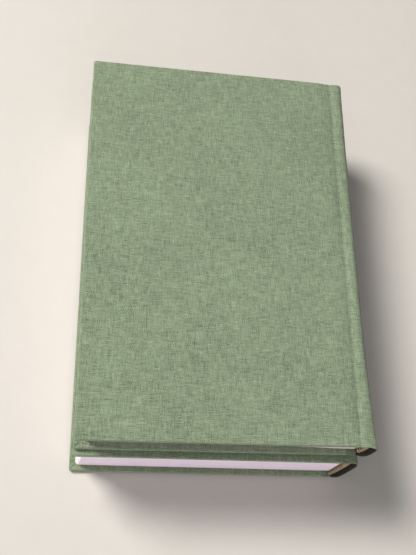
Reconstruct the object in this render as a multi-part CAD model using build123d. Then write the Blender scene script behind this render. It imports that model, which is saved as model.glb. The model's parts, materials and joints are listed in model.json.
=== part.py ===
from build123d import *

import math
import os

# Two matching cloth-bound hardback books, laid one on the other.
# Both lie face up with their heads towards -Y and their spines towards +X.
# Millimetres, +Z up. The origin is the centre of the footprint, on the resting plane.

# Driving sizes that both volumes share
page_width = 154.7
page_height = 234.0
square = 3.3
page_corner_radius = 2.5
board_thickness = 2.0
board_corner_radius = 0.8
cloth_thickness = 0.5
turn_in_width = 15.0
mitre_gap = 0.25
pastedown_thickness = 0.3
leaf_thickness = 0.3
turned_leaf_count = 3
joint_width = 5.9
joint_clearance = 0.35
hinge_setback = 1.0
shoulder_setback = 0.2
groove_slope = 1.3
groove_depth = 2.2
groove_floor_width = 0.9
shoulder_drop = 0.4
block_round = 2.0
spine_bulge = 2.5
spine_corner_radius = 2.4
spine_reach = 4.95
shoulder_lean = 0.3
inlay_thickness = 0.8
inlay_margin = 0.4
mull_thickness = 0.4
mull_margin = 20.0
lining_thickness = 0.5
lining_margin = 3.0
glue_line = 0.1
band_depth = 1.8
band_height = 1.9
band_edge_radius = 0.6
sewing_stations = 5
sewing_margin = 18.0
thread_width = 1.6
thread_depth = 0.6

# Driving sizes of each volume
upper_thickness = 23.5
lower_thickness = 44.5
upper_back_reach = 1.25
lower_back_reach = 0.15
upper_gatherings = 6
lower_gatherings = 12

# How the upper volume lies on the lower one
upper_shift_x = 0.65
upper_shift_y = 3.75
upper_turn_degrees = 0.26

# Derived sizes
board_height = page_height + 2 * square
cover_thickness = board_thickness + 2 * cloth_thickness
block_x0 = square
fold_x = block_x0 + page_width
board_edge_x = fold_x - joint_width + joint_clearance
hinge_x = fold_x - hinge_setback
groove_left_x = board_edge_x + joint_clearance
shoulder_x = hinge_x - shoulder_setback
leaf_edge_x = board_edge_x + joint_clearance


class Volume:
    """One book: its thickness, its gatherings and how far its back reaches."""

    def __init__(self, name, thickness, gathering_count, back_reach):
        self.name = name
        self.thickness = thickness
        self.gathering_count = gathering_count
        self.flat_x = fold_x + back_reach
        self.spine_x = self.flat_x + spine_reach - spine_bulge
        self.width = self.spine_x + spine_bulge


def prism(points, length, start=0.0):
    """A closed outline in X and Z, run along Y."""
    corners = [(x, start, z) for x, z in points]
    outline = make_face(Polyline(*corners, close=True))
    return extrude(outline, amount=length, dir=(0, 1, 0))


def block_of(x0, x1, y0, y1, z0, z1):
    """A box between two corners."""
    size = Box(x1 - x0, y1 - y0, z1 - z0)
    return Pos((x0 + x1) / 2, (y0 + y1) / 2, (z0 + z1) / 2) * size


def sheet_of_pages(x1, z0, z1):
    """A slab the size of a page, with its two fore-edge corners rounded."""
    slab = block_of(block_x0, x1, square, square + page_height, z0, z1)
    corners = slab.edges().filter_by(Axis.Z).group_by(Axis.X)[0]
    return fillet(corners, page_corner_radius)


def mirrored(piece, thickness):
    """The same piece on the other side of the volume's middle plane."""
    return mirror(piece, Plane.XY.offset(thickness / 2))


def cover_board():
    """A back board, lying between its cloth and the turned-in edges."""
    board = block_of(
        cloth_thickness,
        board_edge_x - cloth_thickness,
        cloth_thickness,
        board_height - cloth_thickness,
        cloth_thickness,
        cloth_thickness + board_thickness,
    )
    corners = board.edges().filter_by(Axis.Z).group_by(Axis.X)[0]
    return fillet(corners, board_corner_radius)


def mitre_slot(corner_y, direction):
    """The thin slot where two turned-in edges meet at a corner."""
    near = cloth_thickness + board_corner_radius
    far = turn_in_width + mitre_gap
    slot = Box((far - near) * math.sqrt(2), mitre_gap, cloth_thickness)
    middle = (near + far) / 2
    level = cover_thickness - cloth_thickness / 2
    return Pos(middle, corner_y + direction * middle, level) * Rot(0, 0, 45 * direction) * slot


def cover_cloth():
    """The cloth of a back board: outside, edges and mitred turn-ins."""
    wrap = block_of(0, board_edge_x, 0, board_height, 0, cover_thickness)
    corners = wrap.edges().filter_by(Axis.Z).group_by(Axis.X)[0]
    wrap = fillet(corners, board_corner_radius + cloth_thickness)
    window = block_of(
        turn_in_width,
        board_edge_x + 1,
        turn_in_width,
        board_height - turn_in_width,
        cover_thickness - cloth_thickness,
        cover_thickness,
    )
    wrap -= cover_board()
    wrap -= window
    wrap -= mitre_slot(0, 1)
    wrap -= mitre_slot(board_height, -1)
    return wrap


def cover_pastedown():
    """The endpaper glued to a back board, filled in level with the turn-ins."""
    x1 = board_edge_x - joint_clearance
    sheet = sheet_of_pages(x1, cover_thickness, cover_thickness + pastedown_thickness)
    filling = block_of(
        turn_in_width,
        x1,
        turn_in_width,
        board_height - turn_in_width,
        cover_thickness - cloth_thickness,
        cover_thickness,
    )
    return sheet + filling


def spine_outline(volume, inset):
    """The case's spine in section, as a face that runs left under the boards."""
    z0 = shoulder_drop + inset
    z1 = volume.thickness - shoulder_drop - inset
    left = board_edge_x - joint_width
    right = volume.spine_x - inset
    middle = (right + spine_bulge, 0, volume.thickness / 2)
    top = Line((left, 0, z1), (right, 0, z1))
    back = ThreePointArc((right, 0, z1), middle, (right, 0, z0))
    bottom = Line((right, 0, z0), (left, 0, z0))
    close = Line((left, 0, z0), (left, 0, z1))
    outline = make_face([top, back, bottom, close])
    corners = [v for v in outline.vertices() if v.X > board_edge_x]
    return fillet(corners, spine_corner_radius - inset)


def spine_solid(volume, inset, y0, y1, x0):
    """The spine outline run along Y, kept to the right of x0."""
    outline = Pos(0, y0, 0) * spine_outline(volume, inset)
    solid = extrude(outline, amount=y1 - y0, dir=(0, 1, 0))
    return solid & block_of(x0, volume.width + 1, y0, y1, -1, volume.thickness + 1)


def spine_cloth(volume):
    """The cloth round the spine, turned in over the inlay at both ends."""
    t = cloth_thickness
    inner = t + inlay_thickness
    x0 = shoulder_x
    shell = spine_solid(volume, 0, 0, board_height, x0)
    shell -= spine_solid(volume, t, turn_in_width, board_height - turn_in_width, x0)
    shell -= spine_solid(volume, inner + t, 0, board_height, x0)
    shell -= spine_inlay(volume)
    return shell & spine_ring_keep(volume)


def spine_ring_keep(volume):
    """The space that the case's spine may fill, clear of the block's shoulders."""
    t = cloth_thickness
    whole = block_of(shoulder_x, volume.width + 1, 0, board_height, 0, volume.thickness)
    inside = block_of(
        shoulder_x - 1,
        volume.flat_x + inlay_margin,
        -1,
        board_height + 1,
        shoulder_drop + t,
        volume.thickness - shoulder_drop - t,
    )
    return whole - inside


def spine_inlay(volume):
    """The card strip that stiffens the case's spine."""
    t = cloth_thickness
    x0 = volume.flat_x + inlay_margin
    card = spine_solid(volume, t, t, board_height - t, x0)
    return card - spine_solid(volume, t + inlay_thickness, t, board_height - t, x0)


def joint_cloth():
    """The cloth in the back cover's groove, from the board to the shoulder."""
    t = cloth_thickness
    floor_left = groove_left_x + groove_slope
    floor_right = floor_left + groove_floor_width
    outline = [
        (groove_left_x, shoulder_drop),
        (floor_left, groove_depth),
        (floor_right, groove_depth),
        (shoulder_x, shoulder_drop),
        (shoulder_x, shoulder_drop + t),
        (floor_right, groove_depth + t),
        (floor_left, groove_depth + t),
        (groove_left_x, shoulder_drop + t),
    ]
    return prism(outline, board_height)


class TextBlock:
    """The sewn block of one volume: its levels and its rounded back."""

    def __init__(self, volume):
        thickness = volume.thickness
        self.thickness = thickness
        self.width = volume.width
        self.page_z0 = cover_thickness + pastedown_thickness
        self.page_z1 = thickness - self.page_z0
        self.sewn_z0 = self.page_z0 + leaf_thickness
        self.sewn_z1 = self.page_z1 - (turned_leaf_count + 1) * leaf_thickness
        self.middle_z = thickness / 2
        half = self.middle_z - self.shoulder_z()
        self.radius = (half**2 + block_round**2) / (2 * block_round)
        self.centre_x = volume.flat_x - inlay_margin + block_round - self.radius

    def shoulder_z(self):
        """The level of the shoulder that the backing turns over."""
        return shoulder_drop + cloth_thickness + joint_clearance

    def back_x(self, offset, z):
        """Where the rounded back stands, at an offset outwards, at one level."""
        reach = self.radius + offset
        return self.centre_x + math.sqrt(reach**2 - (z - self.middle_z) ** 2)

    def back_band(self, inner, outer, y0, y1, z0, z1):
        """A curved layer of the back between two offsets."""
        out_low = (self.back_x(outer, z0), y0, z0)
        out_mid = (self.back_x(outer, self.middle_z), y0, self.middle_z)
        out_high = (self.back_x(outer, z1), y0, z1)
        in_low = (self.back_x(inner, z0), y0, z0)
        in_mid = (self.back_x(inner, self.middle_z), y0, self.middle_z)
        in_high = (self.back_x(inner, z1), y0, z1)
        outline = make_face(
            [
                ThreePointArc(out_low, out_mid, out_high),
                Line(out_high, in_high),
                ThreePointArc(in_high, in_mid, in_low),
                Line(in_low, out_low),
            ]
        )
        return extrude(outline, amount=y1 - y0, dir=(0, 1, 0))

    def body(self):
        """The whole sewn block, with its rounded back and backed shoulders."""
        low = self.shoulder_z()
        high = self.thickness - low
        wall_x = shoulder_x + joint_clearance
        lean_x = wall_x + shoulder_lean
        start = (wall_x, 0, self.sewn_z0)
        low_end = (self.back_x(0, low), 0, low)
        high_end = (self.back_x(0, high), 0, high)
        middle = (self.back_x(0, self.middle_z), 0, self.middle_z)
        outline = make_face(
            [
                Line((block_x0, 0, self.sewn_z0), start),
                Line(start, (lean_x, 0, low)),
                Line((lean_x, 0, low), low_end),
                ThreePointArc(low_end, middle, high_end),
                Line(high_end, (lean_x, 0, high)),
                Line((lean_x, 0, high), (wall_x, 0, self.sewn_z1)),
                Line((wall_x, 0, self.sewn_z1), (block_x0, 0, self.sewn_z1)),
                Line((block_x0, 0, self.sewn_z1), (block_x0, 0, self.sewn_z0)),
            ]
        )
        outline = Pos(0, square, 0) * outline
        solid = extrude(outline, amount=page_height, dir=(0, 1, 0))
        corners = solid.edges().filter_by(Axis.Z).group_by(Axis.X)[0]
        return fillet(corners, page_corner_radius)

    def threads(self):
        """The rows of sewing, each in its own saw cut across the folds."""
        rows = []
        pitch = (page_height - 2 * sewing_margin) / (sewing_stations - 1)
        for station in range(sewing_stations):
            y = square + sewing_margin + station * pitch
            row = self.back_band(
                -thread_depth,
                0,
                y - thread_width / 2,
                y + thread_width / 2,
                self.sewn_z0,
                self.sewn_z1,
            )
            rows.append(row)
        return rows

    def gatherings(self, count):
        """The folded gatherings, lying on each other, sawn in for the sewing."""
        block = self.body()
        for row in self.threads():
            block -= row
        pitch = (self.sewn_z1 - self.sewn_z0) / count
        pieces = []
        for number in range(count):
            z0 = self.sewn_z0 + number * pitch if number else 0
            last = number == count - 1
            z1 = self.thickness if last else self.sewn_z0 + (number + 1) * pitch
            slab = block_of(0, self.width, 0, board_height, z0, z1)
            pieces.append(block & slab)
        return pieces

    def mull(self):
        """The open cloth glued across the folds."""
        y0 = square + mull_margin
        y1 = square + page_height - mull_margin
        low = self.page_z0
        high = self.thickness - low
        return self.back_band(glue_line, glue_line + mull_thickness, y0, y1, low, high)

    def lining(self):
        """The paper glued over the open cloth."""
        inner = mull_thickness + 2 * glue_line
        outer = inner + lining_thickness
        y1 = square + page_height
        low = self.page_z0 + lining_margin
        return self.back_band(inner, outer, square, y1, low, self.thickness - low)

    def end_band(self, y0):
        """The worked band that caps the folds at one end of the back."""
        outer = mull_thickness
        low = self.page_z0
        high = self.thickness - low
        band = self.back_band(outer - band_depth, outer, y0, y0 + band_height, low, high)
        long_edges = [e for e in band.edges() if e.geom_type == GeomType.CIRCLE]
        return fillet(long_edges, band_edge_radius)


def volume_pieces(volume):
    """Every piece of one volume, in the volume's own frame."""
    thickness = volume.thickness
    block = TextBlock(volume)
    pieces = {
        "back_board": cover_board(),
        "back_cloth": cover_cloth(),
        "back_pastedown": cover_pastedown(),
        "back_joint_cloth": joint_cloth(),
    }
    for name in ("board", "cloth", "pastedown", "joint_cloth"):
        pieces["front_" + name] = mirrored(pieces["back_" + name], thickness)
    pieces["spine_cloth"] = spine_cloth(volume)
    pieces["spine_inlay"] = spine_inlay(volume)
    pieces["mull"] = block.mull()
    pieces["spine_lining"] = block.lining()
    pieces["headband"] = block.end_band(square - band_height)
    pieces["tailband"] = block.end_band(square + page_height)
    pieces["sewing_threads"] = Compound(children=[Part() + row for row in block.threads()])
    pieces["back_flyleaf"] = sheet_of_pages(leaf_edge_x, block.page_z0, block.sewn_z0)
    leaf_names = ["front_flyleaf"]
    leaf_names += ["turned_leaf_%d" % (n + 1) for n in range(turned_leaf_count)]
    for order, name in enumerate(leaf_names):
        z1 = block.page_z1 - order * leaf_thickness
        pieces[name] = sheet_of_pages(leaf_edge_x, z1 - leaf_thickness, z1)
    for number, piece in enumerate(block.gatherings(volume.gathering_count)):
        pieces["gathering_%02d" % (number + 1)] = piece
    return pieces


def corners_of(volume, place):
    """Where the four corners of one volume's footprint lie."""
    corners = [(x, y) for x in (0, volume.width) for y in (0, board_height)]
    return [(place * Pos(x, y, 0)).position for x, y in corners]


def placements(lower, upper):
    """The two volumes' places, with the origin in the middle of their footprint."""
    own_middle = Pos(-hinge_x / 2, -board_height / 2, 0)
    lift = Pos(upper_shift_x, upper_shift_y, lower.thickness)
    upper_place = lift * Rot(0, 0, upper_turn_degrees) * own_middle
    corners = corners_of(lower, own_middle) + corners_of(upper, upper_place)
    middle_x = (min(c.X for c in corners) + max(c.X for c in corners)) / 2
    middle_y = (min(c.Y for c in corners) + max(c.Y for c in corners)) / 2
    to_origin = Pos(-middle_x, -middle_y, 0)
    return to_origin * own_middle, to_origin * upper_place


def main():
    os.makedirs("parts", exist_ok=True)
    lower = Volume("lower", lower_thickness, lower_gatherings, lower_back_reach)
    upper = Volume("upper", upper_thickness, upper_gatherings, upper_back_reach)
    for volume, place in zip((lower, upper), placements(lower, upper)):
        for name, piece in volume_pieces(volume).items():
            export_step(place * piece, "parts/%s_%s.step" % (volume.name, name))
        hinge = (place * Pos(hinge_x, board_height / 2, volume.thickness)).position
        print(volume.name, "front hinge", [round(v, 4) for v in hinge])


main()
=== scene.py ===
# %% [markdown]
# These are two cloth-bound books, one lying on the other. The CAD model holds their sizes
# and the bodies that move, so it is loaded first, as the frame that everything is built
# in. Each book is then made again as cloth, paper and thread that can be looked at
# closely. Each new piece takes the place of some CAD nodes. Most of them move with the
# body that they belong to; the front covers, the front flyleaves, the loose leaves and
# the front pasted papers stay where they are built.

import json
import math

import bmesh
import bpy
import numpy as np
from mathutils import Matrix, Vector


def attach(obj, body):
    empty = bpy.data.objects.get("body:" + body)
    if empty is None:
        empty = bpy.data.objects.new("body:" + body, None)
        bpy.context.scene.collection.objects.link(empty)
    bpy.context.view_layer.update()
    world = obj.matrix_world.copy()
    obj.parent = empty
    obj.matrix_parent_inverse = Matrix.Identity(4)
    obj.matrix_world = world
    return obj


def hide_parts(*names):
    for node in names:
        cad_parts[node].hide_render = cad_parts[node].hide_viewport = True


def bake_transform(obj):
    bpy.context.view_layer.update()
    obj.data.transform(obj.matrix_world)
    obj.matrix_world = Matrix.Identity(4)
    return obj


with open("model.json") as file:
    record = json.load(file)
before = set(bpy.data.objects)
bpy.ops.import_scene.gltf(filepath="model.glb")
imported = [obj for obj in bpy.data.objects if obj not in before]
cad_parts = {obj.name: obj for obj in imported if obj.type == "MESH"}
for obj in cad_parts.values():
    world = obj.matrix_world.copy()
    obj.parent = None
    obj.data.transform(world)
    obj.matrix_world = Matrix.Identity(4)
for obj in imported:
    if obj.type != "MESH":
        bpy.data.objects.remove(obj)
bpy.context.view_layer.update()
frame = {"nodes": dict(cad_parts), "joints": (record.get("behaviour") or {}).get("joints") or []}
joints = {joint["name"]: joint for joint in frame["joints"]}
random = np.random.default_rng(7)

# %% [markdown]
# All sizes are in millimetres in a book's own frame: X runs from the fore-edge to the
# spine, Y from the near end to the far end, and Z up from the underside. Only the sizes
# that several pieces share stand here. A square is the part of a cover that stands out
# past the leaves. The hinge is the line that a cover turns on, the ridge is where the
# spine starts, the leaves bend from the fold on, and a cover is stiff up to its board.

# %% Sizes that several pieces share
MM = 0.001
BOARD_LENGTH = 240.6
BOARD_EDGE = 152.45
SQUARE = 3.3
COVER = 3.0
CLOTH = 0.55
TURN_IN = 15.0
PASTEDOWN = 0.3
HINGE_X = 157.0
RIDGE_X = 158.6
LEAF_FOLD = 156.9
COVER_STIFF = 152.4
print("boards", BOARD_LENGTH, "by", BOARD_EDGE, "mm")

# %% [markdown]
# Both books have the same boards, so one class holds what differs: the thickness, how far
# the spine bulges past its ridges and how much less it does so half way along, the gap by
# which the leaves lie further in at the near end, and the number of layers of leaves. It
# also turns a book's own millimetres into the shared frame. The CAD hinge gives the place,
# because then the drawn cover and the moving body have one axis.

# %% The two books
class Book:
    """The sizes of one book, and where its own frame lies in the shared one."""

    def __init__(self, name, thickness, bulge, waist, head_gap, layers):
        self.name = name
        self.thickness = thickness
        self.bulge = bulge
        self.waist = waist
        self.head_gap = head_gap
        self.layers = layers
        self.body = name + "_book"
        self.cover_body = name + "_cover"
        self.hinge = Vector(joints[name + "_cover_hinge"]["pos_m"])
        self.turn = 0.0
        if name == "upper":
            axis = joints["upper_cover_hinge"]["axis"]
            self.turn = math.atan2(-axis[0], axis[1])

    def place(self, points):
        """Points in the book's own millimetres, moved into the shared frame."""
        local = np.asarray(points, float) - (HINGE_X, BOARD_LENGTH / 2, self.thickness)
        c, s = math.cos(self.turn), math.sin(self.turn)
        across = local[..., 0] * c - local[..., 1] * s
        along = local[..., 0] * s + local[..., 1] * c
        return stack_xyz(across, along, local[..., 2]) * MM + np.array(self.hinge)

    def point(self, x, z):
        """One point half way along the book, in the shared frame."""
        return Vector(self.place([x, BOARD_LENGTH / 2, z]))


def stack_xyz(x, y, z):
    """Three arrays or numbers as points."""
    return np.stack(np.broadcast_arrays(x, y, z), axis=-1)


upper = Book("upper", thickness=23.5, bulge=6.1, waist=0.7, head_gap=1.25, layers=52)
lower = Book("lower", thickness=44.5, bulge=4.2, waist=0.2, head_gap=0.0, layers=104)
books = [upper, lower]
print("upper turned by", round(math.degrees(upper.turn), 3), "degrees")

# %% [markdown]
# Nothing on a book has a knife edge. Bevels could be added to boxes, but a height map
# with closely spaced lines near its border gives the rounding and the soft shapes of the
# cover in one go. These helpers give the slopes and the spacing of the lines.

# %% Slopes and grid lines
LINES_NEAR_EDGE = [0, 0.07, 0.2, 0.4, 0.65, 0.95, 1.4, 1.8, 2.2, 2.6, 3.0, 3.4, 3.9, 4.6, 6, 8]


def smoothstep(value):
    """0 below 0, 1 above 1 and a soft slope between them."""
    t = np.clip(value, 0, 1)
    return t * t * (3 - 2 * t)


def edge_drop(distance, radius):
    """How far a rounded edge lies below the flat, at a distance in from the edge."""
    inside = np.minimum(distance, radius)
    return radius - np.sqrt(np.maximum(radius**2 - (radius - inside) ** 2, 0))


def edge_steps(length, middle_step, end=True):
    """Positions along a side, close together near the edges that are rounded."""
    last = [length - step for step in reversed(LINES_NEAR_EDGE)] if end else [length]
    count = int((last[0] - LINES_NEAR_EDGE[-1]) / middle_step)
    middle = np.linspace(LINES_NEAR_EDGE[-1], last[0], max(count, 2) + 1)[1:-1]
    return np.array([*LINES_NEAR_EDGE, *middle, *last])


def round_corners(x, y, length, radius):
    """Moves the points of the two square fore-edge corners onto rounded ones."""
    x, y = x.copy(), y.copy()
    for centre_y, side in ((radius, -1), (length - radius, 1)):
        px, py = radius - x, (y - centre_y) * side
        inside = (px > 0) & (py > 0)
        scale = np.maximum(px, py) / np.maximum(np.hypot(px, py), 1e-9)
        x = np.where(inside, radius - px * scale, x)
        y = np.where(inside, centre_y + side * py * scale, y)
    return x, y


print("lines near an edge", len(LINES_NEAR_EDGE))

# %% [markdown]
# Every piece is put together from grids of points. The grids share their border points,
# which are then welded, so a piece comes out as one closed skin. The texture map of each
# face is laid flat along its main direction in millimetres. An unwrap would stretch the
# weave, and this way it keeps its real size on the faces and on the edges.

# %% A skin made of grids
WELD = 0.004
SMALLEST_EDGE = 0.002
SHARP_ANGLE = 40


def lay_flat(work):
    """Gives each face a texture map in millimetres, seen along its main direction."""
    layer = work.loops.layers.uv.new("flat")
    for face in work.faces:
        face.smooth = True
        size = [abs(part) for part in face.normal]
        across = size.index(max(size))
        first, second = [axis for axis in (0, 1, 2) if axis != across]
        for corner in face.loops:
            co = corner.vert.co
            corner[layer].uv = (co[first] / MM, co[second] / MM)


class Skin:
    """A mesh under construction: grids of points that are welded at the end."""

    def __init__(self):
        self.points = []
        self.faces = []
        self.marks = []

    def grid(self, points, mark=0):
        """Adds a grid of points, given as rows x columns x 3, in one of the finishes."""
        points = np.asarray(points, float)
        rows, columns = points.shape[:2]
        start = len(self.points)
        self.points.extend(points.reshape(-1, 3))
        for row in range(rows - 1):
            a = start + row * columns
            b = a + columns
            self.faces += [(a + c, a + c + 1, b + c + 1, b + c) for c in range(columns - 1)]
        self.marks += [mark] * (rows - 1) * (columns - 1)
        return self

    def slab(self, top, bottom, mark=0):
        """Adds two grids of one size, and the walls between their borders."""
        self.grid(top)
        self.grid(bottom, mark)
        for border in (np.s_[0], np.s_[-1], np.s_[:, 0], np.s_[:, -1]):
            self.grid(np.stack([top[border], bottom[border]]))
        return self

    def build(self, name, book, *finishes):
        """Makes the object in the shared frame, welded and with its texture map."""
        mesh = bpy.data.meshes.new(name)
        placed = book.place(np.array(self.points))
        mesh.from_pydata([tuple(point) for point in placed], [], self.faces)
        mesh.polygons.foreach_set("material_index", self.marks)
        work = bmesh.new()
        work.from_mesh(mesh)
        bmesh.ops.remove_doubles(work, verts=work.verts, dist=WELD * MM)
        bmesh.ops.dissolve_degenerate(work, edges=work.edges, dist=SMALLEST_EDGE * MM)
        bmesh.ops.recalc_face_normals(work, faces=work.faces)
        lay_flat(work)
        work.to_mesh(mesh)
        work.free()
        mesh.set_sharp_from_angle(angle=math.radians(SHARP_ANGLE))
        for finish in finishes:
            mesh.materials.append(finish)
        made = bpy.data.objects.new(name, mesh)
        bpy.context.scene.collection.objects.link(made)
        print(name, len(mesh.vertices), "points")
        return made


print("welds points closer than", WELD, "mm")

# %% [markdown]
# A texture is a sum of small patterns. Its nodes could be made and linked one by one, but
# this class wraps one socket of a shader, so that patterns can be added and multiplied
# with ordinary signs and a finish reads like a formula.

# %% Shader helper
class Wire:
    """An output socket of a shader tree that can be used in sums."""

    def __init__(self, tree, socket):
        self.tree = tree
        self.socket = socket

    def node(self, kind, settings=None, output=0, **inputs):
        """Makes any node: its settings are set first, then its inputs."""
        made = self.tree.nodes.new("ShaderNode" + kind)
        for key, value in (settings or {}).items():
            setattr(made, key, value)
        for key, value in inputs.items():
            place = int(key[1:]) if key[1:].isdigit() else key.replace("_", " ")
            if isinstance(value, Wire):
                self.tree.links.new(value.socket, made.inputs[place])
            else:
                made.inputs[place].default_value = value
        return Wire(self.tree, made.outputs[output])

    def maths(self, operation, first, second=0.0):
        """One arithmetic node."""
        return self.node("Math", {"operation": operation}, i0=first, i1=second)

    def __add__(self, other):
        return self.maths("ADD", self, other)

    def __sub__(self, other):
        return self.maths("SUBTRACT", self, other)

    def __rsub__(self, other):
        return self.maths("SUBTRACT", other, self)

    def __mul__(self, other):
        return self.maths("MULTIPLY", self, other)

    def __truediv__(self, other):
        return self.maths("DIVIDE", self, other)

    def __rtruediv__(self, other):
        return self.maths("DIVIDE", other, self)

    __radd__ = __add__
    __rmul__ = __mul__

    def wave(self):
        """A wave from 0 to 1 that repeats once for each whole number."""
        return self.maths("SINE", self * (2 * math.pi)) * 0.5 + 0.5

    def arches(self):
        """A row of round backs from 0 to 1, one for each whole number."""
        return self.maths("ABSOLUTE", self.maths("SINE", self * math.pi))

    def whole(self):
        """The whole number at or below."""
        return self.maths("FLOOR", self)

    def odd(self):
        """1 where this whole number is odd and 0 where it is even."""
        return self.maths("PINGPONG", self, 1.0)

    def clamp(self):
        """Kept between 0 and 1."""
        return self.node("Clamp", Value=self)

    def band(self, low, high):
        """0 below low, 1 above high and a soft slope between them."""
        settings = {"interpolation_type": "SMOOTHSTEP"}
        return self.node("MapRange", settings, Value=self, From_Min=low, From_Max=high)

    def blend(self, first, second):
        """A colour between two colours, by this value."""
        settings = {"data_type": "RGBA"}
        return self.node("Mix", settings, output=2, i0=self, i6=first, i7=second)


print("sockets can be added, subtracted, multiplied and divided")

# %% [markdown]
# Every surface here is dull, so one shader with a low shine serves for all of them. What
# differs is the colour and the fine relief, and both are fed by a pattern. The flat map
# gives places in millimetres on a face, and the solid one gives places in metres in the
# piece, which is right for what runs through a piece, such as the layers of leaves.

# %% Finish helper
SHINE = 0.25


class Finish:
    """A material with one surface shader, and the patterns that its pieces share."""

    def __init__(self, name, roughness, sheen=0.0):
        self.material = bpy.data.materials.new(name)
        self.material.use_nodes = True
        tree = self.material.node_tree
        self.surface = tree.nodes["Principled BSDF"]
        self.surface.inputs["Roughness"].default_value = roughness
        self.surface.inputs["Specular IOR Level"].default_value = SHINE
        self.surface.inputs["Sheen Weight"].default_value = sheen
        self.surface.inputs["Sheen Roughness"].default_value = 0.5
        self.root = Wire(tree, None)
        self.flat = self.root.node("UVMap", {"uv_map": "flat"})
        self.solid = self.root.node("TexCoord", output=3)
        self.u = self.root.node("SeparateXYZ", Vector=self.flat)
        self.v = self.root.node("SeparateXYZ", output=1, Vector=self.flat)

    def level(self):
        """The height in metres of a place in the piece."""
        return self.root.node("SeparateXYZ", output=2, Vector=self.solid)

    def noise(self, vector, scale, detail=3.0, roughness=0.5):
        """Soft noise from 0 to 1."""
        return self.root.node(
            "TexNoise", Vector=vector, Scale=scale, Detail=detail, Roughness=roughness
        )

    def joined(self, x, y, z=0.0):
        """A vector from three values."""
        return self.root.node("CombineXYZ", X=x, Y=y, Z=z)

    def show(self, colour, height, depth):
        """Feeds the colour to the surface, and the height as a relief of a depth in mm."""
        tree = self.material.node_tree
        tree.links.new(colour.socket, self.surface.inputs["Base Color"])
        relief = self.root.node("Bump", Height=height, Distance=depth * MM, Strength=1.0)
        tree.links.new(relief.socket, self.surface.inputs["Normal"])
        return self.material


def linear(red, green, blue):
    """A screen colour from 0 to 255 as the linear colour that shaders use."""
    made = []
    for part in (red / 255, green / 255, blue / 255):
        made.append(part / 12.92 if part <= 0.04045 else ((part + 0.055) / 1.055) ** 2.4)
    return (*made, 1.0)


print("shine of every finish", SHINE)

# %% [markdown]
# Book cloth is a plain weave: each thread goes over one crossing thread and under the
# next. Real threads would be millions of faces, and a picture of cloth would be an image
# file, so the weave is drawn by the shader. A chequerboard picks which of the two threads
# is on top, the thread's own round back gives the relief, and each thread has its own
# tone with thicker and thinner runs: its number, times a step, picks its own line through
# a noise that is stretched along the thread. The relief is also painted into the colour as
# shade, so the crests of the threads are lighter and the gaps between them darker. A slow
# wobble keeps the lines from looking ruled.

# %% Book cloth
THREAD_PITCH = 0.56
WARP_STEP = 7.31
WEFT_STEP = 5.17
WEFT_PLACE = 9.0
RUN_STRETCH = 0.09
CLOTH_DARK = linear(82, 94, 72)
CLOTH_LIGHT = linear(161, 177, 146)


def book_cloth():
    """A fine plain weave in a soft grey green."""
    f = Finish("book_cloth", roughness=0.86, sheen=0.15)
    wobble = f.noise(f.flat, 0.12) * 0.5
    u = f.u / THREAD_PITCH + wobble
    v = f.v / THREAD_PITCH - wobble
    over = (u.whole() + v.whole()).odd()
    relief = u.arches() * over + v.arches() * (1.0 - over)
    warp_place = f.joined(u.whole() * WARP_STEP, v * RUN_STRETCH)
    weft_place = f.joined(v.whole() * WEFT_STEP, u * RUN_STRETCH, WEFT_PLACE)
    warp_tone = f.noise(warp_place, 1.0, detail=2.0)
    weft_tone = f.noise(weft_place, 1.0, detail=2.0)
    tone = warp_tone * over + weft_tone * (1.0 - over)
    cloud = f.noise(f.flat, 0.02, detail=4.0, roughness=0.6)
    speck = f.noise(f.flat, 1.3, detail=2.0, roughness=0.7)
    # Painted shade: the relief term makes the gaps between threads darker and the crests lighter.
    mix = (relief * 0.3 + tone * 1.8 + cloud * 0.3 + speck * 1.1 - 1.3).clamp()
    colour = mix.blend(CLOTH_DARK, CLOTH_LIGHT)
    return f.show(colour, relief * 0.7 + tone * 0.5, depth=0.12)


cloth_finish = book_cloth()
print("threads in 10 mm of cloth", round(10 / THREAD_PITCH))

# %% [markdown]
# Seen from the side, a book block is a stack of cut edges: fine level lines that are long
# and thin. The noise for it is stretched, fast upwards and very slow along the edge. The
# faces of the sheets only have a little fibre and soft clouds of age. The pages are a
# cool white and the endpapers a slightly warmer one.

# %% Paper finishes
EDGE_LINES = 9000.0
EDGE_STRETCH = 0.02


def leaf_edges():
    """The cut edges of many thin leaves, one on the other."""
    f = Finish("leaf_edges", roughness=0.8)
    stretched = f.joined(f.level() * EDGE_LINES, f.u * EDGE_STRETCH, f.v * EDGE_STRETCH)
    fine = f.noise(stretched, 1.0, roughness=0.6)
    cloud = f.noise(f.solid, 40.0)
    mix = (fine * 0.8 + cloud * 0.35 - 0.1).clamp()
    colour = mix.blend(linear(232, 214, 228), linear(253, 246, 252))
    return f.show(colour, fine, depth=0.1)


def paper(name, dark, light):
    """Smooth paper with a little fibre and a little age."""
    f = Finish(name, roughness=0.75)
    fibre = f.noise(f.flat, 1.1, detail=5.0, roughness=0.7)
    cloud = f.noise(f.flat, 0.03, detail=4.0, roughness=0.6)
    colour = (fibre * 0.35 + cloud * 0.65).clamp().blend(dark, light)
    return f.show(colour, fibre, depth=0.02)


edge_finish = leaf_edges()
page_finish = paper("page_paper", linear(204, 194, 190), linear(228, 219, 214))
end_finish = paper("end_paper", linear(208, 198, 188), linear(229, 221, 210))
print("paper finishes", edge_finish.name, page_finish.name, end_finish.name)

# %% [markdown]
# The small bands at the ends of the leaves are wound with thread in two colours by turns,
# so one wave along the band picks the colour and a finer one makes the single turns of
# thread. The rough paper on the back of the leaves and the card inside the spine are seen
# only as dark slits, so a plain grain is enough for them.

# %% Band, lining and card finishes
STRIPE = 2.3
THREAD_TURN = 0.28


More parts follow.
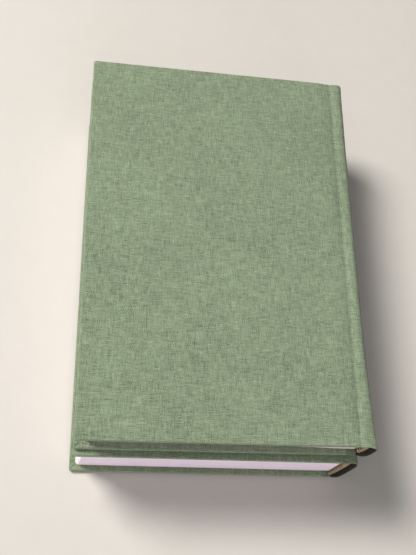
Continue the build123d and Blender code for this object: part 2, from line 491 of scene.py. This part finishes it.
def striped_band():
    """Thread wrapped round a cord in two alternating colours."""
    f = Finish("striped_band", roughness=0.6, sheen=0.2)
    stripes = (f.level() * (1.0 / (STRIPE * MM))).wave()
    turns = (f.level() * (1.0 / (THREAD_TURN * MM))).wave()
    colour = stripes.band(0.4, 0.6).blend(linear(38, 38, 26), linear(196, 180, 138))
    return f.show(colour, turns, depth=0.05)


def plain(name, colour, spread, scale, roughness=0.8, depth=0.05):
    """A plain dull material with a fine grain."""
    f = Finish(name, roughness)
    grain = f.noise(f.solid, scale, detail=4.0, roughness=0.65)
    dark = tuple(part * (1 - spread) for part in colour[:3]) + (1.0,)
    light = tuple(min(part * (1 + spread), 1.0) for part in colour[:3]) + (1.0,)
    return f.show(grain.blend(dark, light), grain, depth)


band_finish = striped_band()
lining_finish = plain("lining_paper", linear(140, 122, 92), spread=0.2, scale=900.0)
card_finish = plain("dark_card", linear(66, 62, 54), spread=0.3, scale=1500.0)
print("finishes", len(bpy.data.materials))

# %% [markdown]
# A cover is a board wrapped in cloth. The cloth runs on past the board, down into the
# groove, where the cover bends, and up to the ridge beside the spine. The outside is a
# height map: a slow roll towards the spine, the groove, and a slight fall at both ends.
# On the inside the turned-in edges meet at each corner in a thin slanting gap, which is
# the mitre.

# %% The heights of a cover
ROLL_START = 146.5
ROLL_DROP = 0.45
GROOVE_MIDDLE = 154.7
GROOVE_WIDTH = 1.8
GROOVE_DEPTH = 0.75
END_DIP = 0.22
DIP_START = 120
DIP_WIDTH = 40
DIP_LENGTH = 25
SAG = 0.05
SAG_MARGIN = 20
SAG_ACROSS = 0.043
SAG_ALONG = 0.031
MITRE_DEPTH = 0.55
MITRE_WIDTH = 0.45
MITRE_START = 0.3
MITRE_SLOPE = 0.6


def top_profile(x):
    """How far the cover's cloth lies below the book's top, across the book."""
    roll = ROLL_DROP * smoothstep((x - ROLL_START) / (BOARD_EDGE - ROLL_START))
    groove = GROOVE_DEPTH * np.exp(-(((x - GROOVE_MIDDLE) / GROOVE_WIDTH) ** 2))
    return roll + groove


def end_dip(x, y):
    """The slight fall of the cover's top at the ends of the spine side."""
    near = np.minimum(y, BOARD_LENGTH - y)
    return END_DIP * smoothstep((x - DIP_START) / DIP_WIDTH) * smoothstep(1 - near / DIP_LENGTH)


def board_sag(x, y, inward):
    """Very slow waves in the board, which die out towards its edges."""
    waves = np.sin(x * SAG_ACROSS + 1) * np.sin(y * SAG_ALONG)
    return SAG * waves * smoothstep(inward / SAG_MARGIN)


def mitre_gap(x, end, inward):
    """The slanting gap between two turned-in edges, as a depth in the inside."""
    slant = np.exp(-(((x - end) / MITRE_WIDTH) ** 2))
    return MITRE_DEPTH * slant * smoothstep((inward - MITRE_START) / MITRE_SLOPE) * (inward < TURN_IN)


print("deepest place of the groove", round(float(top_profile(np.array(GROOVE_MIDDLE))), 2), "mm")

# %% [markdown]
# The outside and the inside are two grids over the same lines, closed by walls. The board
# could be a solid of its own under a thin cloth, but nobody sees it, and two skins so
# close together would cut through each other, so the cloth piece takes its place. The
# back cover is the same skin turned over and moves with the book. The front cover stays
# where it is built.

# %% Covers
EDGE_ROUND = 0.85
CORNER_ROUND = 1.4
GRID_STEP = 3.0
BOARD_LINES_END = 144.0
JOINT_LINES = [146, 147.5, 149, 150, 151, 151.8, 152.35, 152.6, 152.9, 153.3, 153.7, 154.1, 154.5]
JOINT_LINES += [154.9, 155.3, 155.7, 156.1, 156.6, 157.1, 157.6, 158.1, RIDGE_X]
COVER_NODES = ("_cloth", "_joint_cloth", "_board")


def cover_skin(book, flip):
    """The cloth of one cover; flip turns it over for the back cover."""
    columns = [*edge_steps(BOARD_LINES_END, GRID_STEP, end=False), *JOINT_LINES]
    x, y = np.meshgrid(columns, edge_steps(BOARD_LENGTH, GRID_STEP))
    end = np.minimum(y, BOARD_LENGTH - y)
    inward = np.minimum(x, end)
    joint = x > BOARD_EDGE
    drop = edge_drop(np.where(joint, end, inward), np.where(joint, CLOTH / 2, EDGE_ROUND))
    dip = end_dip(x, y)
    top = book.thickness - top_profile(x) - dip - board_sag(x, y, inward) * (1 - flip)
    under = np.where(joint, top - CLOTH, book.thickness - COVER - dip * (1 - flip))
    under = under + drop + mitre_gap(x, end, inward)
    top = top - drop
    px, py = round_corners(x, y, BOARD_LENGTH, CORNER_ROUND)
    if flip:
        top, under = book.thickness - top, book.thickness - under
    return Skin().slab(stack_xyz(px, py, top), stack_xyz(px, py, under))


for book in books:
    front = cover_skin(book, False).build(book.name + "_front_cover_cloth", book, cloth_finish)
    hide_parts(*[book.name + "_front" + part for part in COVER_NODES])
    mid_z = book.thickness - COVER / 2
    book.point(RIDGE_X, mid_z)
    book.point(COVER_STIFF, mid_z)
    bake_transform(front)
    back = cover_skin(book, True).build(book.name + "_back_cover_cloth", book, cloth_finish)
    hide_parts(*[book.name + "_back" + part for part in COVER_NODES])
    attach(back, book.body)

# %% [markdown]
# The spine is the same cloth over a strip of card. Its section is a flattened oval that
# starts and ends at the two ridges. One extruded section would look like a pipe: a real
# spine is squarer and wider at the ends, where the cloth is turned in over the card, so a
# new section is worked out for each place along the book. The leaves are not glued to it,
# which leaves the hollow that can be seen from the end.

# %% Spine
SPINE_SHELL = 1.1
SPINE_OVAL = 2.2
SPINE_SQUARER = 1.4
SPINE_STEP = 4.0
SQUARER_LENGTH = 60
CAP_FLARE = 1.0
FLARE_LENGTH = 9
CAP_REACH = 0.7
REACH_LENGTH = 5
FAR_SHARE = 0.3
CARD_SHARE = 0.8


def end_share(y, length):
    """1 at the near end, falling to 0 over a length; the far end has less of it."""
    end = min(y, BOARD_LENGTH - y)
    return float(smoothstep(1 - end / length)) * (1.0 if y < BOARD_LENGTH / 2 else FAR_SHARE)


def spine_section(book, y, inset, count=56):
    """The spine's section at one place along the book, as count points in X and Z."""
    squarer = end_share(y, SQUARER_LENGTH)
    power = SPINE_OVAL + SPINE_SQUARER * squarer
    flare = CAP_FLARE * end_share(y, FLARE_LENGTH)
    bulge = book.bulge - book.waist * (1 - squarer) + flare - inset
    dip = float(end_dip(np.array(RIDGE_X), np.array(y))) / 2
    middle = book.thickness / 2
    half = middle - ROLL_DROP - dip - inset
    angle = np.linspace(math.pi / 2, -math.pi / 2, count)
    c, s = np.cos(angle), np.sin(angle)
    x = RIDGE_X + bulge * np.maximum(c, 0) ** (2 / power)
    z = middle - dip + half * np.sign(s) * np.abs(s) ** (2 / power)
    return x, z


def spine_skin(book):
    """The spine's outer and inner surface, rounded over at both ends."""
    outer, inner = [], []
    for y in edge_steps(BOARD_LENGTH, SPINE_STEP):
        end = min(y, BOARD_LENGTH - y)
        drop = float(edge_drop(end, SPINE_SHELL / 2))
        x, z = spine_section(book, y, drop)
        side = -1 if y < BOARD_LENGTH / 2 else 1
        past_end = side * CAP_REACH * float(smoothstep(1 - end / REACH_LENGTH))
        along = y + past_end * smoothstep((x - RIDGE_X) / REACH_LENGTH)
        outer.append(stack_xyz(x, along, z))
        share = np.abs(np.linspace(-1, 1, len(x)))
        card = 1 - smoothstep((share - CARD_SHARE) / (1 - CARD_SHARE))
        card_x, card_z = spine_section(book, y, SPINE_SHELL - drop)
        cloth_x, cloth_z = spine_section(book, y, 0)
        cloth_x = cloth_x - CLOTH * (1 - share)
        cloth_z = cloth_z - np.sign(cloth_z - book.thickness / 2) * CLOTH * (1 - drop / SPINE_SHELL)
        inner_x = card_x * card + cloth_x * (1 - card)
        inner_z = card_z * card + cloth_z * (1 - card)
        inner.append(stack_xyz(inner_x, along, inner_z))
    return Skin().slab(np.array(outer), np.array(inner), mark=1)


for book in books:
    spine = spine_skin(book).build(book.name + "_spine", book, cloth_finish, card_finish)
    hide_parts(book.name + "_spine_cloth", book.name + "_spine_inlay")
    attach(spine, book.body)

# %% [markdown]
# The sewn leaves are a pile of thin layers. Hundreds of separate sheets would be heavy
# and would flicker, so the pile is one skin whose outline steps in and out a little from
# layer to layer. The fore-edge is hollow because the back is rounded.

# %% Leaf block
LEAF_PITCH = 0.3
LEAVES = 3
BLOCK_BACK = 157.1
PAGE_ROUND = 2.2
ARC_POINTS = 6
FORE_EDGE_HOLLOW = 1.6
LAYER_GAP = 0.03
RAGGED = 0.16
SHIFTED = 0.05
GAP_START = 100
GAP_WIDTH = 55


def block_levels(book):
    """The lowest and highest level of the sewn leaves."""
    low = COVER + PASTEDOWN + LEAF_PITCH
    high = book.thickness - COVER - PASTEDOWN - LEAF_PITCH * (LEAVES + 1)
    return low, high


def page_ring(x0, x1, y0, y1, radius, step=4.0):
    """The outline of a page, with its two fore-edge corners rounded."""
    arc = np.linspace(0, math.pi / 2, ARC_POINTS)
    near_x = x0 + radius * (1 - np.sin(arc))
    near_y = y0 + radius * (1 - np.cos(arc))
    across = np.linspace(x1, x0 + radius, int((x1 - x0) / step))[:-1]
    along = np.linspace(y0 + radius, y1 - radius, int((y1 - y0) / step))[1:-1]
    ring = [(x, y0) for x in across] + list(zip(near_x, near_y))
    ring += [(x0, y) for y in along]
    ring += list(zip(near_x[::-1], y0 + y1 - near_y[::-1]))
    ring += [(x, y1) for x in across[::-1]]
    return np.array(ring)


def head_shift(book, x, y):
    """How much further in the leaves' near edge stands towards the fore-edge."""
    return book.head_gap * (1 - smoothstep((x - GAP_START) / GAP_WIDTH)) * (1 - y / BOARD_LENGTH)


def block_skin(book):
    """The pile of leaves, from the fore-edge to the folds."""
    low, high = block_levels(book)
    edges = np.linspace(low, high, book.layers + 1)
    middle = book.thickness / 2
    rings = []
    for number in range(book.layers):
        inset, shift = random.uniform(0, RAGGED), random.uniform(-SHIFTED, SHIFTED)
        near, far = SQUARE + inset + shift, BOARD_LENGTH - SQUARE - inset + shift
        for z in (edges[number] + LAYER_GAP, edges[number + 1] - LAYER_GAP):
            hollow = FORE_EDGE_HOLLOW * (1 - ((z - middle) / middle) ** 2)
            x, y = page_ring(SQUARE + hollow + inset, BLOCK_BACK, near, far, PAGE_ROUND).T
            rings.append(stack_xyz(x, y + head_shift(book, x, y), z))
    skin = Skin().grid(rings)
    for ring in (rings[0], rings[-1]):
        half = len(ring) // 2
        skin.grid([ring[:half], ring[::-1][:half]], mark=1)
    return skin


for book in books:
    block = block_skin(book).build(book.name + "_leaf_block", book, edge_finish, page_finish)
    gatherings = [node for node in frame["nodes"] if node.startswith(book.name + "_gathering")]
    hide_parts(*gatherings)
    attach(block, book.body)

# %% [markdown]
# Along the folds runs a rounded bar of open cloth and rough paper, which holds the sewing.
# At each end of it lies a worked band, a thin cord wound with thread. A bevelled curve
# could make the cord, but rings swept along the rounded back follow it exactly and can
# swell a little at each turn of the thread.

# %% Lined back and worked bands
BACK_MARGIN = 1.9
BACK_INSET = 1.3
BACK_STEP = 0.4
SPINE_HOLLOW = 1.1
BACK_END = 0.05
BACK_LAP = 0.02
BACK_LEVELS = 40
BACK_ROWS = 30
BAND_RADIUS = 1.3
BAND_MARGIN = 2.4
BAND_OUT = 0.2
BAND_PAST_LEAVES = 0.8
RINGS_PER_MM = 7
RING_POINTS = 15
WRAP = 0.07
WRAP_TURN = 0.9
TIP = 0.3
TIP_SLOPE = 0.35


def back_of_block(book, z):
    """Where the rounded back stands at a level."""
    middle = book.thickness / 2
    share = np.clip(1 - ((z - middle) / (middle - BACK_INSET)) ** 2, 0, 1)
    roundness = book.bulge - book.waist - SPINE_SHELL - SPINE_HOLLOW
    return BLOCK_BACK + BACK_STEP + roundness * share**0.5


def back_skin(book):
    """The rounded back: folds, open cloth and paper lining in one rounded bar."""
    levels = np.linspace(BACK_MARGIN, book.thickness - BACK_MARGIN, BACK_LEVELS)
    near = SQUARE + BACK_END
    rows = np.linspace(near, BOARD_LENGTH - near, BACK_ROWS)
    x = back_of_block(book, levels)
    outer = np.array([stack_xyz(x, y, levels) for y in rows])
    inner = np.array([stack_xyz(BLOCK_BACK - BACK_LAP, y, levels) for y in rows])
    return Skin().slab(outer, inner)


def band_skin(book, y):
    """A worked band: a thin cord along the back, wrapped with thread."""
    count = int(book.thickness * RINGS_PER_MM)
    levels = np.linspace(BAND_MARGIN, book.thickness - BAND_MARGIN, count)
    x = back_of_block(book, levels) + BAND_OUT
    turns = np.linspace(0, 2 * math.pi, RING_POINTS)
    rings = []
    for number, level in enumerate(levels):
        wrap = WRAP * abs(math.sin(number * WRAP_TURN))
        from_tip = min(number, count - 1 - number)
        radius = (BAND_RADIUS + wrap) * min(1.0, TIP + from_tip * TIP_SLOPE)
        rings.append(stack_xyz(x[number] + radius * np.cos(turns), y + radius * np.sin(turns), level))
    return Skin().grid(rings)


for book in books:
    folds = back_skin(book).build(book.name + "_lined_back", book, lining_finish)
    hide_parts(*[book.name + part for part in ("_mull", "_spine_lining", "_sewing_threads")])
    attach(folds, book.body)
    near = SQUARE - BAND_PAST_LEAVES
    for node, y in (("_headband", near), ("_tailband", BOARD_LENGTH - near)):
        band = band_skin(book, y).build(book.name + "_worked" + node, book, band_finish)
        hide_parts(book.name + node)
        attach(band, book.body)

# %% [markdown]
# The endpapers and the loose leaves are thin slabs. A flat plane would be simpler, but
# paper that is looked at from the side needs its thickness, and a leaf that bends needs
# lines close together near its fold. Slow waves keep the loose sheets from looking like
# glass. A pasted sheet has no waves. Instead the edge of the turned-in cloth under it
# shows as a low step.

# %% A sheet of paper
LEAF = 0.26
SHEET_GAP = 0.02
FLAT_LINES = 40
FLAT_LINES_END = 138
BEND_LINES = 16
BEND_LINES_START = 139.5
CORNER_LINES = [0.6, 1.2, 1.9, 2.6]
ROW_LINES = 58
ROW_MARGIN = 6
WAVES = 0.04
WAVES_END = 140
WAVES_FADE = 30
WAVES_ACROSS = 0.05
WAVES_ALONG = 0.04
STEP_WIDTH = 1.2


def sheet_waves(x, y, z):
    """Slow waves of a loose sheet, which die out towards its fold."""
    fade = smoothstep((WAVES_END - x) / WAVES_FADE)
    return WAVES * np.sin(x * WAVES_ACROSS + z) * np.sin(y * WAVES_ALONG + 2 * z) * fade


def turned_in_step(x, y, length, height):
    """How much lower a pasted sheet lies where no turned-in cloth is under it."""
    from_edge = np.minimum(x, np.minimum(y, length - y)) + SQUARE
    return height * (smoothstep((from_edge - TURN_IN + STEP_WIDTH / 2) / STEP_WIDTH) - 1)


def sheet_skin(book, z, thickness, last, step_height=0.0):
    """A sheet of paper from the fore-edge to last, with rounded fore-edge corners."""
    length = BOARD_LENGTH - 2 * SQUARE
    flat = np.linspace(0, FLAT_LINES_END, FLAT_LINES)
    bending = np.linspace(BEND_LINES_START, last - SQUARE, BEND_LINES)
    columns = np.sort([*flat, *bending, *CORNER_LINES])
    rows = np.linspace(ROW_MARGIN, length - ROW_MARGIN, ROW_LINES)
    far_lines = [length - line for line in reversed(CORNER_LINES)]
    x, y = np.meshgrid(columns, [0, *CORNER_LINES, *rows, *far_lines, length])
    if step_height:
        top, bottom = z + turned_in_step(x, y, length, step_height), z
    else:
        top = bottom = z + sheet_waves(x, y, z)
    px, py = round_corners(x, y, length, PAGE_ROUND)
    px, py = px + SQUARE, py + SQUARE
    py = py + head_shift(book, px, py)
    return Skin().slab(stack_xyz(px, py, top + thickness), stack_xyz(px, py, bottom))


print("a sheet is", LEAF, "mm thick and leaves come every", LEAF_PITCH, "mm")

# %% [markdown]
# The flyleaf and the first three leaves each take the place of a CAD node of their own.
# Each sheet stays where it is built.

# %% Loose leaves
LEAF_STIFF = 143.0

for book in books:
    low, high = block_levels(book)
    turning = ["_turned_leaf_%d" % (number + 1) for number in range(LEAVES)] + ["_front_flyleaf"]
    for number, name in enumerate(turning):
        flyleaf = name == "_front_flyleaf"
        z = high + number * LEAF_PITCH + SHEET_GAP
        finish = end_finish if flyleaf else page_finish
        leaf = sheet_skin(book, z, LEAF, LEAF_FOLD).build(book.name + name + "_paper", book, finish)
        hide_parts(book.name + name)
        book.point(LEAF_FOLD, z)
        book.point(LEAF_STIFF, z)
        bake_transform(leaf)

# %% [markdown]
# The paper pasted inside each cover hides the board. The front one runs on over the joint
# and stays where it is built. The back cover is the one the book lies on, so its pasted
# paper and its flyleaf stay with the book.

# %% Endpapers
STEP_HEIGHT = 0.12
BACK_PASTEDOWN_END = 152.0

for book in books:
    inside = book.thickness - COVER - PASTEDOWN
    paste = sheet_skin(book, inside + SHEET_GAP, PASTEDOWN, LEAF_FOLD, STEP_HEIGHT)
    paste = paste.build(book.name + "_front_pastedown_paper", book, end_finish)
    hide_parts(book.name + "_front_pastedown")
    bend_start, bend_end = book.point(LEAF_FOLD, inside), book.point(COVER_STIFF, inside)
    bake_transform(paste)
    paste = sheet_skin(book, COVER, PASTEDOWN - SHEET_GAP, BACK_PASTEDOWN_END)
    paste = paste.build(book.name + "_back_pastedown_paper", book, end_finish)
    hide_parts(book.name + "_back_pastedown")
    leaf = sheet_skin(book, COVER + PASTEDOWN + SHEET_GAP, LEAF, LEAF_FOLD)
    leaf = leaf.build(book.name + "_back_flyleaf_paper", book, end_finish)
    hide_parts(book.name + "_back_flyleaf")
    for piece in (paste, leaf):
        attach(piece, book.body)

# %% [markdown]
# The books need something to lie on that catches their shadow. A plain pale sheet does
# that and doesn't draw the eye away from the cloth.

# %% Floor
FLOOR_REACH = 3.0


def make_floor():
    """A wide pale sheet at the level the books rest on."""
    mesh = bpy.data.meshes.new("floor")
    signs = [(-1, -1), (1, -1), (1, 1), (-1, 1)]
    corners = [(x * FLOOR_REACH, y * FLOOR_REACH, 0) for x, y in signs]
    mesh.from_pydata(corners, [], [(0, 1, 2, 3)])
    pale = plain("floor", linear(205, 200, 193), spread=0.03, scale=60.0, roughness=0.9, depth=0.2)
    mesh.materials.append(pale)
    floor = bpy.data.objects.new("floor", mesh)
    bpy.context.scene.collection.objects.link(floor)
    print("floor of", 2 * FLOOR_REACH, "m")


make_floor()

# %% [markdown]
# The shadows are soft and fall to the right and towards the viewer, so one large lamp
# stands behind the books on the left, like a window. Two weak ones light the near end,
# as the rest of a room would, and a faint even light fills the shadows. Directions are
# in degrees: the first one round the books, counted from the X axis, and the second one
# up from the floor.

# %% Light
SKY_STRENGTH = 0.17


def make_lamp(name, azimuth, elevation, distance, size, power, colour):
    """A square lamp that shines at the books from one direction."""
    lamp = bpy.data.lights.new(name, "AREA")
    lamp.size = size
    lamp.energy = power
    lamp.color = colour
    a, e = math.radians(azimuth), math.radians(elevation)
    away = Vector((math.cos(a) * math.cos(e), math.sin(a) * math.cos(e), math.sin(e)))
    holder = bpy.data.objects.new(name, lamp)
    holder.location = away * distance
    holder.rotation_mode = "QUATERNION"
    holder.rotation_quaternion = (-away).to_track_quat("-Z", "Y")
    bpy.context.scene.collection.objects.link(holder)


WINDOW_LIGHT = (1.0, 0.99, 0.95)
SIDE_LIGHT = (1.0, 0.93, 1.0)
TOP_LIGHT = (1.0, 1.0, 0.98)
make_lamp("window", 146, 50, distance=2.6, size=0.9, power=83, colour=WINDOW_LIGHT)
make_lamp("room_side", -92, 13, distance=2.0, size=0.6, power=13.2, colour=SIDE_LIGHT)
make_lamp("room_top", -105, 62, distance=0.7, size=0.4, power=0.7, colour=TOP_LIGHT)
world = bpy.data.worlds.new("room")
world.use_nodes = True
sky = world.node_tree.nodes["Background"]
sky.inputs["Color"].default_value = (0.80, 0.82, 0.86, 1)
sky.inputs["Strength"].default_value = SKY_STRENGTH
bpy.context.scene.world = world
bpy.context.scene.view_settings.view_transform = "Standard"
print("lamps", len(bpy.data.lights))

# %% [markdown]
# The camera looks down steeply from the near end. Its place, its three directions and its
# focal length were fitted to the photograph, so that the edges of the books fall within a
# few pixels of the photographed ones. They are given in the upper book's own frame. The
# focal length is in pixels, and the picture's and the sensor's heights turn it into the
# lens length.

# %% Camera
FOCAL_PIXELS = 815
PICTURE_HEIGHT_PIXELS = 555
SENSOR_HEIGHT = 36.0
camera_place = (-5.42, -93.3, upper.thickness + 420.1)
camera_right = Vector((0.984874, -0.013687, 0.172733))
camera_down = Vector((0.057440, -0.914721, -0.399983))
camera_ahead = Vector((0.163477, 0.403854, -0.900098))

turn = Matrix.Rotation(upper.turn, 3, "Z")
columns = [turn @ camera_right, turn @ -camera_down, turn @ -camera_ahead]
standing = Matrix.Translation(Vector(upper.place(camera_place)))
eye = bpy.data.cameras.new("camera")
eye.sensor_fit = "VERTICAL"
eye.sensor_height = SENSOR_HEIGHT
eye.lens = SENSOR_HEIGHT * FOCAL_PIXELS / PICTURE_HEIGHT_PIXELS
eye.clip_start = 0.01
camera = bpy.data.objects.new("camera", eye)
camera.matrix_world = standing @ Matrix(columns).transposed().to_4x4()
bpy.context.scene.collection.objects.link(camera)
bpy.context.scene.camera = camera
print("lens", round(eye.lens, 1), "mm")
